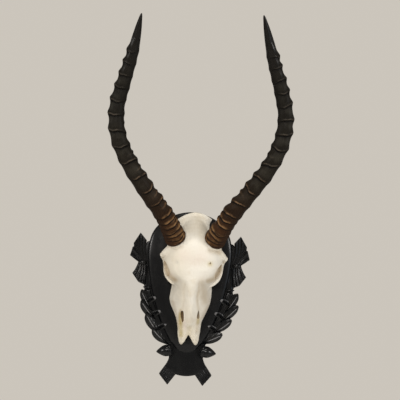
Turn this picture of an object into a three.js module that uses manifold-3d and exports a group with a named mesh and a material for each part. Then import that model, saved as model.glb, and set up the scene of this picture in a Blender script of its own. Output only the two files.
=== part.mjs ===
// Impala horns on their skull, on a carved wall shield of painted wood.
// Millimetres. +X is to the viewer's right, +Y goes into the wall, +Z is up.
// The origin is on the shield's flat back, at the middle of its height and width.
// A "depth" is a distance in front of the wall, so its Y is minus the depth.

import * as THREE from 'three';
import { mergeVertices } from 'three/addons/utils/BufferGeometryUtils.js';
import Module from 'manifold-3d';

const wasm = await Module();
wasm.setup();

// ---------------------------------------------------------------- driving dimensions

const GAP = 0.3; // between touching pieces

// Shield
const PANEL_DEPTH = 22;
const PANEL_SIDES = 44;
const PANEL_CHAMFER = 4;
const GROUND_DEPTH = 11; // the board behind the leaves and ribbons
const TAIL_DEPTH = 14; // bottom of a ribbon's flutes
const FLUTE_HEIGHT = 4;
const LEAF_DEPTH = 12; // the middle plane of a leaf
const BOW_DEPTH = 19;
const TRIM_DEPTH = 60; // past the front of everything carved

// Skull, in its own frame, which hangs a little askew on the shield
const SKULL_SHIFT = 5.2;
const SKULL_TURN = THREE.MathUtils.degToRad(1.6);
const BONE_BACK = PANEL_DEPTH + GAP;
const SKULL_SIDES = 20;
const ORBIT_RIM_RADIUS = 3.4;

// Horns
const HORN_SIDES = 14;
const CORE_SIDES = 10;
const SOCKET_LENGTH = 64;
const SOCKET_RADIUS = 13;
const PEDICLE_LENGTH = 34;
const RING_PEAK = 3.4; // how far the strongest ring stands out
const RING_FOOT = 3; // from a ring's crest down to the groove below it
const RING_SHOULDER = 9; // from a ring's crest up to its soft shoulder
const RING_PITCH = 28; // from one ring to the next where they stand widest apart
const SMOOTH_TIP = 62; // the last stretch of a horn, with no rings

// Hardware
const SCREW_SHANK = 2.2;
const SCREW_HEAD = 4.5;
const SCREW_LENGTH = 44;
const HEAD_SINK = 0.8; // the screw heads end below the board's back
const HEAD_EDGE = 0.6; // the straight rim of a countersunk head
const SCREW_SIDES = 10;
const SKULL_SCREWS = { upper: [8, 92], lower: [4.5, -16] };
const PLATE_SIZE = [56, 18];
const PLATE_THICK = 1.6;
const PLATE_SINK = 0.6;
const PLATE_HEIGHT = 128;
const PLATE_SCREW_X = 21;

// ---------------------------------------------------------------- solids

/** A closed geometry as a manifold solid: only positions, shared corners merged, no slivers. */
function solid(geometry) {
  const bare = new THREE.BufferGeometry();
  bare.setAttribute('position', geometry.getAttribute('position').clone());
  const source = geometry.index;
  const count = source ? source.count : bare.attributes.position.count;
  bare.setIndex(Array.from({ length: count }, (_, i) => (source ? source.getX(i) : i)));
  const merged = mergeVertices(bare, 1e-4);
  const corners = merged.index.array;
  const kept = [];
  for (let i = 0; i < corners.length; i += 3) {
    const [a, b, c] = corners.slice(i, i + 3);
    if (a !== b && b !== c && c !== a) kept.push(a, b, c);
  }
  const vertProperties = new Float32Array(merged.attributes.position.array);
  const made = new wasm.Manifold(
    new wasm.Mesh({ numProp: 3, vertProperties, triVerts: new Uint32Array(kept) }));
  if (made.volume() > 0) return made;
  for (let i = 0; i < kept.length; i += 3) {
    [kept[i], kept[i + 1]] = [kept[i + 1], kept[i]];
  }
  return new wasm.Manifold(
    new wasm.Mesh({ numProp: 3, vertProperties, triVerts: new Uint32Array(kept) }));
}

function join(...parts) {
  return parts.reduce((whole, part) => whole.add(part));
}

function cut(body, ...tools) {
  return tools.reduce((left, tool) => left.subtract(tool), body);
}

/** Moves every corner of a geometry through a function of its position and its number. */
function reshape(geometry, move) {
  const position = geometry.getAttribute('position');
  const point = new THREE.Vector3();
  for (let i = 0; i < position.count; i += 1) {
    point.fromBufferAttribute(position, i);
    const moved = move(point, i);
    position.setXYZ(i, moved.x, moved.y, moved.z);
  }
  return geometry;
}

function at(x, depth, z) {
  return new THREE.Vector3(x, -depth, z);
}

/** A flat outline in X and Z, from the wall plane out to a depth. */
function slab(outline, depth) {
  const shape = new THREE.Shape(outline.map(([x, z]) => new THREE.Vector2(x, z)));
  const geometry = new THREE.ExtrudeGeometry(shape, { depth, bevelEnabled: false });
  return solid(geometry.rotateX(Math.PI / 2));
}

/** An egg of bone or wood: centre and half sizes along X, depth and Z, turned in the view. */
function lump([x, depth, z], [rx, rd, rz], turn = 0, sides = 8) {
  const ball = new THREE.SphereGeometry(1, sides, Math.round(sides * 0.7));
  ball.scale(rx, rz, rd);
  ball.rotateX(Math.PI / 2);
  ball.rotateY(THREE.MathUtils.degToRad(turn));
  ball.translate(x, -depth, z);
  return solid(ball);
}

/** A round bar through points given as x, depth and z. */
function bar(points, radius, sides = 6, steps = 7) {
  const path = new THREE.CatmullRomCurve3(points.map(([x, depth, z]) => at(x, depth, z)));
  const section = new THREE.Shape();
  section.absarc(0, 0, radius, 0, Math.PI * 2);
  const options = { steps, extrudePath: path, curveSegments: sides, bevelEnabled: false };
  return solid(new THREE.ExtrudeGeometry(section, options));
}

/** A turned solid on an axis: profile of [along, radius], from a point towards another. */
function turned(profile, from, to, sides) {
  const points = profile.map(([along, radius]) => new THREE.Vector2(radius, along));
  const geometry = new THREE.LatheGeometry(points, sides);
  const direction = to.clone().sub(from).normalize();
  const up = new THREE.Vector3(0, 1, 0);
  geometry.applyQuaternion(new THREE.Quaternion().setFromUnitVectors(up, direction));
  geometry.translate(from.x, from.y, from.z);
  return solid(geometry);
}

function mirrored(points) {
  return points.map(([x, ...rest]) => [-x, ...rest]);
}

/** The same piece on the right (+1) and on the left (-1). */
function bothSides(make) {
  return join(make(1), make(-1));
}

function toMesh(name, body, color, roughness, metalness) {
  const made = body.getMesh();
  const geometry = new THREE.BufferGeometry();
  geometry.setAttribute('position', new THREE.BufferAttribute(made.vertProperties, 3));
  geometry.setIndex(new THREE.BufferAttribute(made.triVerts, 1));
  const material = new THREE.MeshStandardMaterial({ color, roughness, metalness });
  const mesh = new THREE.Mesh(geometry, material);
  mesh.name = name;
  return mesh;
}

// ---------------------------------------------------------------- shield

/** The smooth egg-shaped panel that carries the skull, with a chamfered front edge. */
function panel() {
  const half = [
    [0, 163], [44, 151], [70, 126], [79, 92], [75, 40],
    [60, -19], [34, -77], [15, -98.8], [0, -103.5],
  ];
  const ring = [...half, ...mirrored(half.slice(1, -1)).reverse()];
  const outline = new THREE.CatmullRomCurve3(ring.map(([x, z]) => at(x, 0, z)), true);
  const steps = [
    { inset: 0, depth: 0 },
    { inset: 0, depth: PANEL_DEPTH - PANEL_CHAMFER },
    { inset: PANEL_CHAMFER * 0.5, depth: PANEL_DEPTH - PANEL_CHAMFER * 0.35 },
    { inset: PANEL_CHAMFER * 1.4, depth: PANEL_DEPTH },
  ];
  const middle = at(0, 0, 50);
  const drum = new THREE.CylinderGeometry(1, 1, 1, PANEL_SIDES, steps.length - 1);
  const wrapped = reshape(drum, (point) => {
    const step = steps[Math.round((0.5 - point.y) * (steps.length - 1))];
    if (Math.hypot(point.x, point.z) < 0.5) return at(middle.x, step.depth, middle.z);
    const turn = (Math.atan2(point.x, point.z) / (Math.PI * 2) + 1) % 1;
    const edge = outline.getPointAt(Math.round(turn * PANEL_SIDES) / PANEL_SIDES);
    const inward = middle.clone().sub(edge).setLength(step.inset);
    return edge.add(inward).setY(-step.depth);
  });
  return solid(wrapped);
}

/**
 * A ribbon tail carved in flutes, which fan out from its root to its cut end.
 * root and end are lines of [x, z], from the tail's one edge to its other.
 */
function flutedTail(root, end, flutes, depth = TAIL_DEPTH) {
  const columns = flutes * 2;
  const along = (line, share) => {
    const place = share * (line.length - 1);
    const first = Math.min(Math.floor(place), line.length - 2);
    const rest = place - first;
    return line[first].map((value, i) => value * (1 - rest) + line[first + 1][i] * rest);
  };
  const block = new THREE.BoxGeometry(1, 1, 1, columns, 1, 1);
  return solid(reshape(block, (point) => {
    const share = point.x + 0.5;
    const [x, z] = along(point.y < 0 ? root : end, share);
    const ridge = Math.round(share * columns) % 2 === 1 ? FLUTE_HEIGHT : 0;
    return at(x, point.z > 0 ? depth + ridge : 0, z);
  }));
}

/** A carved leaf with a sharp midrib, from its root to its tip in the view. */
function leaf([rootX, rootZ], [tipX, tipZ], width, height = 8) {
  const length = Math.hypot(tipX - rootX, tipZ - rootZ);
  const profile = [[0, 0], [0.2, 0.62], [0.6, 1], [0.88, 0.72], [1, 0]];
  const sides = 6;
  const points = profile.map(([along, radius]) => new THREE.Vector2(radius, along));
  const spindle = new THREE.LatheGeometry(points, sides);
  spindle.scale(width / 2, length, height);
  const lean = Math.atan2(tipX - rootX, tipZ - rootZ);
  return solid(reshape(spindle, (point) => {
    const across = point.x;
    const up = point.y;
    const x = rootX + up * Math.sin(lean) + across * Math.cos(lean);
    const z = rootZ + up * Math.cos(lean) - across * Math.sin(lean);
    return at(x, Math.max(0, LEAF_DEPTH + point.z), z);
  }));
}

/** One side of the surround: ribbon tails above, leaf garland below, a bud at the foot. */
function surround(side) {
  const onSide = (points) => points.map(([x, z]) => [x * side, z]);
  const place = ([x, z]) => [x * side, z];
  const ground = slab(onSide([
    [60, 112], [82, 104], [92, 84], [97, 64], [96, 52], [90, 32], [83, 18], [87, 4], [87, -9],
    [79, -33], [61, -61], [37, -88], [30, -118], [0, -118], [0, -60], [50, 20],
  ]), GROUND_DEPTH);
  const tails = [
    flutedTail(onSide([[78, 68], [95, 66]]), onSide([[83, 106.5], [95, 120.5], [107, 101]]), 4),
    flutedTail(onSide([[89, 76], [93, 64]]),
      onSide([[99, 95], [108.5, 94], [113, 77.5], [98, 66.5]]), 4),
    flutedTail(onSide([[97, 66], [82, 66]]), onSide([[107.5, 44.5], [95.5, 28], [86, 24]]), 4),
  ];
  const knot = lump([89 * side, TAIL_DEPTH, 65], [8.5, 6, 5], 0, 6);
  const stem = flutedTail(onSide([[84, 15], [67, 19]]), onSide([[82, 60], [74, 60]]), 2, GROUND_DEPTH);
  const tie = lump([77 * side, GROUND_DEPTH, 17.5], [9.5, 6, 2.8], 0, 6);
  const outerLeaves = [
    [[69, -25], [90, 13]],
    [[63, -47], [94, -9]],
    [[51, -69], [85, -37]],
    [[31, -85], [68, -64]],
  ].map(([root, tip]) => leaf(place(root), place(tip), 22));
  const innerLeaves = [
    [[82, -14], [60, 1]],
    [[73, -40], [50, -24]],
    [[60, -64], [38, -49]],
  ].map(([root, tip]) => leaf(place(root), place(tip), 17, 11));
  const bud = turned(
    [[0, 0], [0, 12], [5, 13], [6, 11], [16, 9], [24, 4.5], [29, 0]],
    at(28 * side, 11, -98.5), at(57 * side, 9.5, -103), 10);
  return join(ground, ...tails, knot, stem, tie, ...outerLeaves, ...innerLeaves, bud);
}

/** The bow at the foot: a smooth swelling band over a scalloped edge, and two ribbon ends. */
function bow() {
  const band = slab([
    [-28, -96], [-33, -118], [-37, -130], [-22, -143], [-12, -141], [0, -147],
    [12, -141], [22, -143], [37, -130], [33, -118], [28, -96],
  ], GROUND_DEPTH + 3);
  const swell = lump([0, GROUND_DEPTH, -120], [33, BOW_DEPTH - GROUND_DEPTH, 24]);
  const ends = bothSides((side) => flutedTail(
    [[36 * side, -124], [16 * side, -141]],
    [[49.5 * side, -144], [33 * side, -164]], 4, TAIL_DEPTH - 2));
  return join(band, swell, ends);
}

function screwAxis([x, z]) {
  return [at(x, 0, z), at(x, 1, z)];
}

/** A countersunk screw with its head towards the wall; spare makes the hole that takes it. */
function screw(place, headRadius, shankRadius, length, sink, spare = 0) {
  const start = sink - spare;
  const cone = headRadius - shankRadius;
  const profile = [
    [start, 0],
    [start, headRadius + spare],
    [sink + HEAD_EDGE, headRadius + spare],
    [sink + HEAD_EDGE + cone, shankRadius + spare],
    [sink + length - 5, shankRadius + spare],
    [sink + length + spare, 0],
  ];
  const [from, to] = screwAxis(place);
  return turned(profile, from, to, SCREW_SIDES);
}

function screwHole(place, headRadius, shankRadius, length, sink) {
  const [from, to] = screwAxis(place);
  const reach = headRadius + GAP;
  const mouth = turned([[-1, 0], [-1, reach], [sink + HEAD_EDGE, reach], [sink + HEAD_EDGE, 0]],
    from, to, SCREW_SIDES);
  return join(mouth, screw(place, headRadius, shankRadius, length, sink, GAP));
}

/** The hanger plate: a keyhole for the wall screw's head, and its slot above. */
function keyhole(back, front) {
  const hole = new THREE.Shape();
  hole.absarc(0, -3, 4.6, Math.PI / 2 + 0.55, Math.PI / 2 - 0.55 + Math.PI * 2);
  hole.lineTo(2.4, 5);
  hole.absarc(0, 5, 2.4, 0, Math.PI);
  const options = { depth: front - back, bevelEnabled: false, curveSegments: 5 };
  const geometry = new THREE.ExtrudeGeometry(hole, options).rotateX(Math.PI / 2);
  return solid(geometry.translate(0, -back, PLATE_HEIGHT));
}

function block(width, height, back, front, z) {
  const box = new THREE.BoxGeometry(width, front - back, height);
  return solid(box.translate(0, -(back + front) / 2, z));
}

const PLATE_SCREWS = { left: [-PLATE_SCREW_X, PLATE_HEIGHT], right: [PLATE_SCREW_X, PLATE_HEIGHT] };
const PLATE_SCREW = { head: 2.8, shank: 1.3, length: 12, sink: PLATE_SINK + 0.1 };

function plateScrew(place, spare = 0) {
  const { head, shank, length, sink } = PLATE_SCREW;
  return screw(place, head, shank, length, sink, spare);
}

function hangerPlate() {
  const [width, height] = PLATE_SIZE;
  const blank = block(width, height, PLATE_SINK, PLATE_SINK + PLATE_THICK, PLATE_HEIGHT);
  const { head, shank, length, sink } = PLATE_SCREW;
  const holes = Object.values(PLATE_SCREWS).map((place) => (
    screwHole(place, head, shank, length, sink)));
  return cut(blank, keyhole(0, 4), ...holes);
}

function shield() {
  const inFront = block(400, 400, 0, TRIM_DEPTH, 0);
  const whole = join(panel(), bothSides(surround), bow()).intersect(inFront);
  const recess = block(PLATE_SIZE[0] + 2 * GAP, PLATE_SIZE[1] + 2 * GAP,
    -1, PLATE_SINK + PLATE_THICK + GAP, PLATE_HEIGHT);
  const nailRoom = block(12, 14, -1, 11, PLATE_HEIGHT);
  const plateHoles = Object.values(PLATE_SCREWS).map((place) => plateScrew(place, GAP));
  const skullHoles = Object.values(SKULL_SCREWS).map((place) => (
    screwHole(place, SCREW_HEAD, SCREW_SHANK, SCREW_LENGTH, HEAD_SINK)));
  return cut(whole, recess, nailRoom, ...plateHoles, ...skullHoles);
}

// ---------------------------------------------------------------- horns

/** A horn's centre line from its base to its tip, and its frame: front and outward. */
function hornLine(side, points) {
  const curve = new THREE.CatmullRomCurve3(points.map(([x, depth, z]) => at(x, depth, z)));
  curve.arcLengthDivisions = 400;
  const length = curve.getLength();
  const frame = (along) => {
    const share = THREE.MathUtils.clamp(along / length, 0, 1);
    const centre = curve.getPointAt(share);
    const axis = curve.getTangentAt(share);
    const spare = along - share * length;
    centre.addScaledVector(axis, spare);
    const outward = axis.clone().cross(new THREE.Vector3(0, -1, 0)).normalize();
    const front = outward.clone().cross(axis).normalize();
    outward.multiplyScalar(side);
    return { centre, axis, front, outward };
  };
  return { frame, length };
}

const LEFT_LINE = hornLine(-1, [
  [-26.5, 70, 112.5], [-49, 106, 156], [-82, 139.5, 201], [-113.5, 163, 249], [-133, 176, 295],
  [-136, 186, 341], [-124.5, 200.5, 387], [-110.5, 221.5, 433], [-95.5, 260.5, 496],
]);
const RIGHT_LINE = hornLine(1, [
  [43.5, 70, 111.5], [68.5, 107, 155.5], [101.5, 141, 201], [133.5, 164.5, 247], [153.5, 178, 294],
  [157.5, 187, 337], [147.5, 200, 381], [131.5, 220, 428], [109, 265, 500],
]);

/** Where each ring's crest is, along the horn from its base. */
const LEFT_RINGS = [13, 27, 40, 69, 99, 129, 160, 191, 220, 249, 277, 303, 327, 350, 373, 396];
const RIGHT_RINGS = [12, 27, 50, 80, 110, 139, 169, 199, 229, 256, 282, 308, 332, 355, 378, 400];

/** Radius of the horn at the foot of its rings, as a share of the way to the tip. */
function grooveRadius(share) {
  const stations = [
    [0, 19.2], [0.05, 17.8], [0.2, 15], [0.45, 13.6], [0.65, 12.6], [0.78, 10.8], [0.87, 8.6],
    [0.94, 5.6], [0.985, 2.6], [1, 0],
  ];
  const next = stations.findIndex(([place]) => place >= share && place > 0);
  const [fromShare, fromRadius] = stations[next - 1];
  const [toShare, toRadius] = stations[next];
  return THREE.MathUtils.mapLinear(share, fromShare, toShare, fromRadius, toRadius);
}

/** Rings stand out on the inner side low down, and on the outer side higher up. */
function ringStrength(share, turn) {
  const swing = THREE.MathUtils.smoothstep(share, 0.3, 0.7);
  const strongest = THREE.MathUtils.degToRad(THREE.MathUtils.lerp(-55, 55, swing));
  const facing = (1 + Math.cos(turn - strongest)) / 2;
  return THREE.MathUtils.lerp(0.22, 1, Math.pow(facing, 0.8));
}

/** A turned profile bent onto a horn's line. Rows hold along, radius and the ring's part of it. */
function bentAlong(line, rows, sides) {
  const points = rows.map(({ along, radius }) => new THREE.Vector2(radius, along));
  const straight = new THREE.LatheGeometry(points, sides);
  return solid(reshape(straight, (point, i) => {
    const row = rows[i % rows.length];
    const turn = Math.floor(i / rows.length) / sides * Math.PI * 2;
    const { centre, front, outward } = line.frame(row.along);
    const ring = (row.ring || 0) * ringStrength(row.along / line.length, turn);
    const reach = row.radius + ring;
    return centre
      .addScaledVector(front, reach * Math.cos(turn))
      .addScaledVector(outward, reach * Math.sin(turn));
  }));
}

/** A horn sheath: ringed skin, rounded lip, and the socket that fits over the bony core. */
function hornSheath(line, rings) {
  const rows = [
    { along: SOCKET_LENGTH, radius: 0 },
    { along: SOCKET_LENGTH - 2, radius: 3 },
    { along: 0, radius: SOCKET_RADIUS + GAP },
    { along: 0, radius: 18.2 },
    { along: 2, radius: 19.6 },
  ];
  const skin = (along, ring = 0) => {
    rows.push({ along, radius: grooveRadius(along / line.length), ring });
  };
  rings.forEach((crest, i) => {
    const next = rings[i + 1] ?? crest + RING_PITCH;
    const spread = Math.min(1, (next - crest) / RING_PITCH);
    const thinning = THREE.MathUtils.mapLinear(crest, 0, line.length, 1, 0.75);
    const peak = RING_PEAK * THREE.MathUtils.lerp(0.45, 1, spread) * thinning;
    skin(crest - RING_FOOT * spread);
    skin(crest, peak);
    skin(crest + RING_SHOULDER * spread, peak * 0.5);
  });
  const tipShares = [1, 0.7, 0.42, 0.2, 0.07];
  tipShares.forEach((share) => skin(line.length - share * SMOOTH_TIP));
  rows.push({ along: line.length, radius: 0 });
  return bentAlong(line, rows, HORN_SIDES);
}

/** The bone that the sheath sits over: a stub out of the skull, and a tapering core. */
function hornCore(line) {
  return bentAlong(line, [
    { along: -PEDICLE_LENGTH, radius: 0 },
    { along: -PEDICLE_LENGTH, radius: 15 },
    { along: -12, radius: 20 },
    { along: -2, radius: 18.5 },
    { along: -GAP, radius: 17 },
    { along: -GAP, radius: SOCKET_RADIUS },
    { along: SOCKET_LENGTH - 2 - 4 * GAP, radius: 3 - GAP },
    { along: SOCKET_LENGTH - 4 * GAP, radius: 0 },
  ], CORE_SIDES);
}

/** Room for the sheath's lip where the brow rises round it. */
function lipRoom(line) {
  return bentAlong(line, [
    { along: -GAP, radius: 0 },
    { along: -GAP, radius: 20.4 },
    { along: 40, radius: 23 },
    { along: 40, radius: 0 },
  ], CORE_SIDES);
}

// ---------------------------------------------------------------- skull

/** Cross-sections of the skull: height in the view, half width, thickness, and roundness. */
const SKULL_ROWS = [
  [-70, 19.5, 9, 2.4],
  [-58, 21.5, 17, 2.2],
  [-44, 22.5, 26, 1.9],
  [-31, 28, 33, 1.7],
  [-17, 34.5, 39, 1.6],
  [-3, 39.5, 44, 1.7],
  [13, 38.5, 49, 2],
  [27, 38.5, 53, 2.3],
  [38, 46.5, 56, 2.6],
  [50, 52, 59, 3],
  [66, 54.5, 61, 3.4],
  [82, 59, 62, 3.6],
  [94, 54, 62, 3.6],
  [105, 47, 61, 3.2],
  [118, 37, 57, 2.6],
  [136, 35, 47, 2.2],
  [149, 32, 37, 2.2],
  [158, 25, 28, 2.2],
  [163.5, 12, 20, 2.2],
];

function skullBody() {
  const rows = SKULL_ROWS.length - 1;
  const drum = new THREE.CylinderGeometry(1, 1, 1, SKULL_SIDES, rows);
  return solid(reshape(drum, (point) => {
    const [z, halfWidth, thick, round] = SKULL_ROWS[Math.round((point.y + 0.5) * rows)];
    const reach = Math.hypot(point.x, point.z);
    if (reach < 0.5) return at(0, BONE_BACK + thick * 0.4, z);
    const bulge = (value) => Math.sign(value) * Math.pow(Math.abs(value), 2 / round);
    return at(halfWidth * bulge(point.x), BONE_BACK + thick * Math.max(0, bulge(point.z)), z);
  }));
}

/** The raised edge of bone that runs round the front of an eye socket. */
function orbitRim(side) {
  const points = [[54, 64, 80], [55, 50, 66], [52.5, 44, 52], [46, 43, 40], [32, 44, 27]];
  return bar(points.map(([x, depth, z]) => [x * side, depth, z]), ORBIT_RIM_RADIUS);
}

function skull() {
  const brows = bothSides((side) => lump([47 * side, 62, 84], [15, 15, 11], 10 * side));
  const prongs = bothSides((side) => lump([13.5 * side, 33, -63], [7, 8, 24], 3 * side));
  const grown = join(skullBody(), brows, prongs);
  const orbits = bothSides((side) => lump([54 * side, 60, 58], [13, 20, 17], 4 * side, 10));
  const slits = [
    lump([-13.4, 62, -31], [2.6, 18, 11], -16),
    lump([15.3, 62, -26], [2.2, 18, 9], 8),
  ];
  const grooves = bothSides((side) => lump([13.5 * side, 50, -50], [2.4, 8, 22], -3 * side));
  const palate = lump([0, 48, -62], [4.2, 14, 13]);
  const foramina = [[-29, 82, 71], [31, 82, 73]].map((place) => lump(place, [2.4, 7, 1.8]));
  const hollowed = cut(grown, orbits, ...slits, grooves, palate, ...foramina);
  const rimmed = join(hollowed, bothSides(orbitRim));
  const turn = new THREE.Matrix4().makeRotationY(SKULL_TURN).setPosition(SKULL_SHIFT, 0, 0);
  const placed = rimmed.transform(turn.toArray());
  const roomy = cut(placed, lipRoom(LEFT_LINE), lipRoom(RIGHT_LINE));
  const cored = join(roomy, hornCore(LEFT_LINE), hornCore(RIGHT_LINE));
  const screwHoles = Object.values(SKULL_SCREWS).map((place) => (
    screw(place, SCREW_HEAD, SCREW_SHANK, SCREW_LENGTH, HEAD_SINK, GAP)));
  return cut(cored, ...screwHoles);
}

// ---------------------------------------------------------------- the whole object

const mount = new THREE.Group();
mount.add(toMesh('shield', shield(), 0x16161a, 0.35, 0));
mount.add(toMesh('skull', skull(), 0xe6dcc6, 0.7, 0));
mount.add(toMesh('horn_left', hornSheath(LEFT_LINE, LEFT_RINGS), 0x35291f, 0.5, 0));
mount.add(toMesh('horn_right', hornSheath(RIGHT_LINE, RIGHT_RINGS), 0x35291f, 0.5, 0));
for (const [name, place] of Object.entries(SKULL_SCREWS)) {
  const body = screw(place, SCREW_HEAD, SCREW_SHANK, SCREW_LENGTH, HEAD_SINK);
  mount.add(toMesh(`skull_screw_${name}`, body, 0x9a9a98, 0.4, 1));
}
mount.add(toMesh('hanger_plate', hangerPlate(), 0x8d8f90, 0.45, 1));
for (const [name, place] of Object.entries(PLATE_SCREWS)) {
  mount.add(toMesh(`hanger_screw_${name}`, plateScrew(place), 0x9a9a98, 0.4, 1));
}

export default mount;
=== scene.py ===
import math

import bpy
import numpy as np
from mathutils import Matrix, Vector, noise


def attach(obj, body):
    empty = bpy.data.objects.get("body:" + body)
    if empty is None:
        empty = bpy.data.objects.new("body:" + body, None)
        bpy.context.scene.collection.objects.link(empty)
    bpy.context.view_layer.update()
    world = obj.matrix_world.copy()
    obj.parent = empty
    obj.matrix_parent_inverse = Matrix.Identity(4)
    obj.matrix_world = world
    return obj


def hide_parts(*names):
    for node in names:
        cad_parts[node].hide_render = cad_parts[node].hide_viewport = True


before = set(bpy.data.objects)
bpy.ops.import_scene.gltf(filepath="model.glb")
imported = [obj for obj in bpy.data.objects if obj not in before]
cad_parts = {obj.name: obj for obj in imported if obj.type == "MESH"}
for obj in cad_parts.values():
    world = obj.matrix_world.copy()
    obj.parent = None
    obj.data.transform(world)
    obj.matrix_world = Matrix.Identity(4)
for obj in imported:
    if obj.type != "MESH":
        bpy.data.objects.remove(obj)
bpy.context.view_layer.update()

# ---------------------------------------------------------------- studio
# A pale floor well below the mount, and soft lamps: one high in front, one at each side, one
# overhead, and a weak cool one like a window at the right. The camera looks square on to the
# wall, turned a little.

FLOOR_SIZE, FLOOR_HEIGHT = 9.0, -1.1
CAMERA_PLACE = Vector((0.0147, -2.2, 0.1869))
CAMERA_ROLL = 2.3
VIEW_WIDTH = 0.76  # what the picture spans at the wall
PALE = (0.88, 0.86, 0.83, 1)
AIR_SEEN = (0.60, 0.56, 0.50, 1)  # the pale backdrop that the camera sees
AIR_LIGHT = (0.215, 0.20, 0.178, 1)  # and the dimmer room that lights the object


class Wire:
    """A socket in a finish. Arithmetic on it adds Math nodes, and node() adds any other node."""

    def __init__(self, tree, socket=None):
        self.tree = tree
        self.socket = socket

    def node(self, kind, settings, inputs, output=0):
        made = self.tree.nodes.new("ShaderNode" + kind)
        for name, value in settings.items():
            if name == "stops":
                while len(made.color_ramp.elements) < len(value):
                    made.color_ramp.elements.new(0.5)
                for stop, (place, colour) in zip(made.color_ramp.elements, value):
                    stop.position, stop.color = place, colour
            else:
                setattr(made, name, value)
        for name, value in inputs.items():
            if isinstance(value, Wire):
                self.tree.links.new(value.socket, made.inputs[name])
            else:
                made.inputs[name].default_value = value
        return Wire(self.tree, made.outputs[output])

    def maths(self, operation, *values):
        return self.node("Math", {"operation": operation}, dict(enumerate(values)))

    def __add__(self, other):
        return self.maths("ADD", self, other)

    def __sub__(self, other):
        return self.maths("SUBTRACT", self, other)

    def __mul__(self, other):
        return self.maths("MULTIPLY", self, other)

    __radd__, __rmul__ = __add__, __mul__

    def clamped(self):
        return self.node("Clamp", {}, {0: self})

    def rising(self, low, high):
        """0 below low, 1 above high, and smooth between."""
        return self.node("MapRange", {"interpolation_type": "SMOOTHSTEP"},
                         {"Value": self, "From Min": low, "From Max": high})

    def attribute(self, name, output="Fac"):
        return self.node("Attribute", {"attribute_name": name}, {}, output)

    def place(self):
        return self.node("TexCoord", {}, {}, "Object")

    def stretched(self, scale):
        return self.node("Mapping", {}, {"Vector": self, "Scale": scale})

    def noise(self, scale, detail=3.0, roughness=0.55):
        inputs = {"Vector": self, "Scale": scale, "Detail": detail, "Roughness": roughness}
        return self.node("TexNoise", {}, inputs)

    def ramp(self, *stops):
        return self.node("ValToRGB", {"stops": stops}, {0: self})

    def mixed(self, low, high, blend="MIX"):
        """The colour low where this wire is 0, and high where it is 1."""
        settings = {"data_type": "RGBA", "blend_type": blend}
        return self.node("Mix", settings, {0: self, 6: low, 7: high}, 2)

    def bump(self, distance, under=None, strength=1.0):
        """A normal that reads this wire as a height, in metres for each unit, over another bump."""
        inputs = {"Strength": strength, "Distance": distance, "Height": self}
        if under:
            inputs["Normal"] = under
        return self.node("Bump", {}, inputs)


def new_finish(name, **constants):
    """A material with one shader, and a wire to grow its nodes from."""
    material = bpy.data.materials.new(name)
    material.use_nodes = True
    shader = material.node_tree.nodes["Principled BSDF"]
    for socket, value in constants.items():
        shader.inputs[socket.replace("_", " ")].default_value = value
    return material, Wire(material.node_tree)


def finish_with(material, **wires):
    shader = material.node_tree.nodes["Principled BSDF"]
    for socket, wire in wires.items():
        material.node_tree.links.new(wire.socket, shader.inputs[socket.replace("_", " ")])


def rgb(red, green, blue):
    return (red, green, blue, 1)


def aimed(place, target):
    return (Vector(target) - Vector(place)).to_track_quat("-Z", "Y").to_euler()


def softbox(name, place, target, size, power, colour):
    bpy.ops.object.light_add(type="AREA", location=place, rotation=aimed(place, target))
    lamp = bpy.context.object
    lamp.name = name
    lamp.data.shape = "RECTANGLE"
    lamp.data.size, lamp.data.size_y = size
    lamp.data.energy = power
    lamp.data.color = colour


bpy.ops.mesh.primitive_plane_add(size=FLOOR_SIZE, location=(0, 0, FLOOR_HEIGHT))
floor = bpy.context.object
floor.name = "studio_floor"
floor_paint, wire = new_finish("floor_paint", Roughness=0.8)
cloudy = wire.place().noise(0.6)
finish_with(floor_paint, Base_Color=cloudy.mixed(PALE, rgb(0.91, 0.89, 0.86)))
floor.data.materials.append(floor_paint)

world = bpy.data.worlds.new("studio_air")
world.use_nodes = True
air = Wire(world.node_tree).node("LightPath", {}, {}, "Is Camera Ray")
backdrop = air.mixed(AIR_LIGHT, AIR_SEEN)
world.node_tree.links.new(backdrop.socket, world.node_tree.nodes["Background"].inputs["Color"])
bpy.context.scene.world = world

MIDDLE = (0.0, -0.1, 0.12)
WARM, WARMER, COOL = (1.0, 0.965, 0.915), (1.0, 0.965, 0.9), (0.60, 0.78, 1.0)
softbox("front_lamp", (-0.2, -2.2, 0.86), MIDDLE, (0.5, 0.4), 18, WARM)
softbox("left_lamp", (-1.95, -1.25, 0.35), MIDDLE, (0.4, 0.4), 15, WARM)
softbox("right_lamp", (1.95, -1.25, 0.45), MIDDLE, (0.4, 0.4), 15.5, WARM)
softbox("ceiling_lamp", (0, -1.0, 1.95), MIDDLE, (0.7, 0.5), 13, WARMER)
softbox("window_lamp", (2.1, -1.3, 0.1), MIDDLE, (0.8, 1.4), 4, COOL)

half_view = VIEW_WIDTH / 2 / -CAMERA_PLACE.y
bpy.ops.object.camera_add(location=CAMERA_PLACE)
camera = bpy.context.object
camera.rotation_euler = (math.radians(90), math.radians(-CAMERA_ROLL), 0)
camera.data.lens = camera.data.sensor_width / 2 / half_view
camera.data.clip_end = 60
bpy.context.scene.camera = camera
bpy.context.scene.view_settings.view_transform = "Standard"

# ---------------------------------------------------------------- carved shield
# One board of close-grained wood, carved in relief and painted black: an egg-shaped panel with
# a rounded edge, fluted ribbons, a garland of overlapping leaves, two buds and a bow.
# It is laid out in millimetres, where a depth is measured from the wall towards the room.

MM = 0.001
PANEL_DEPTH = 22
PANEL_HALF = [
    (0, 163), (44, 151), (70, 126), (79, 92), (75, 40), (60, -19), (34, -77), (15, -98.8), (0, -103.5),
]
PANEL_POINTS = 176
PANEL_MIDDLE = (0, 50)
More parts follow.
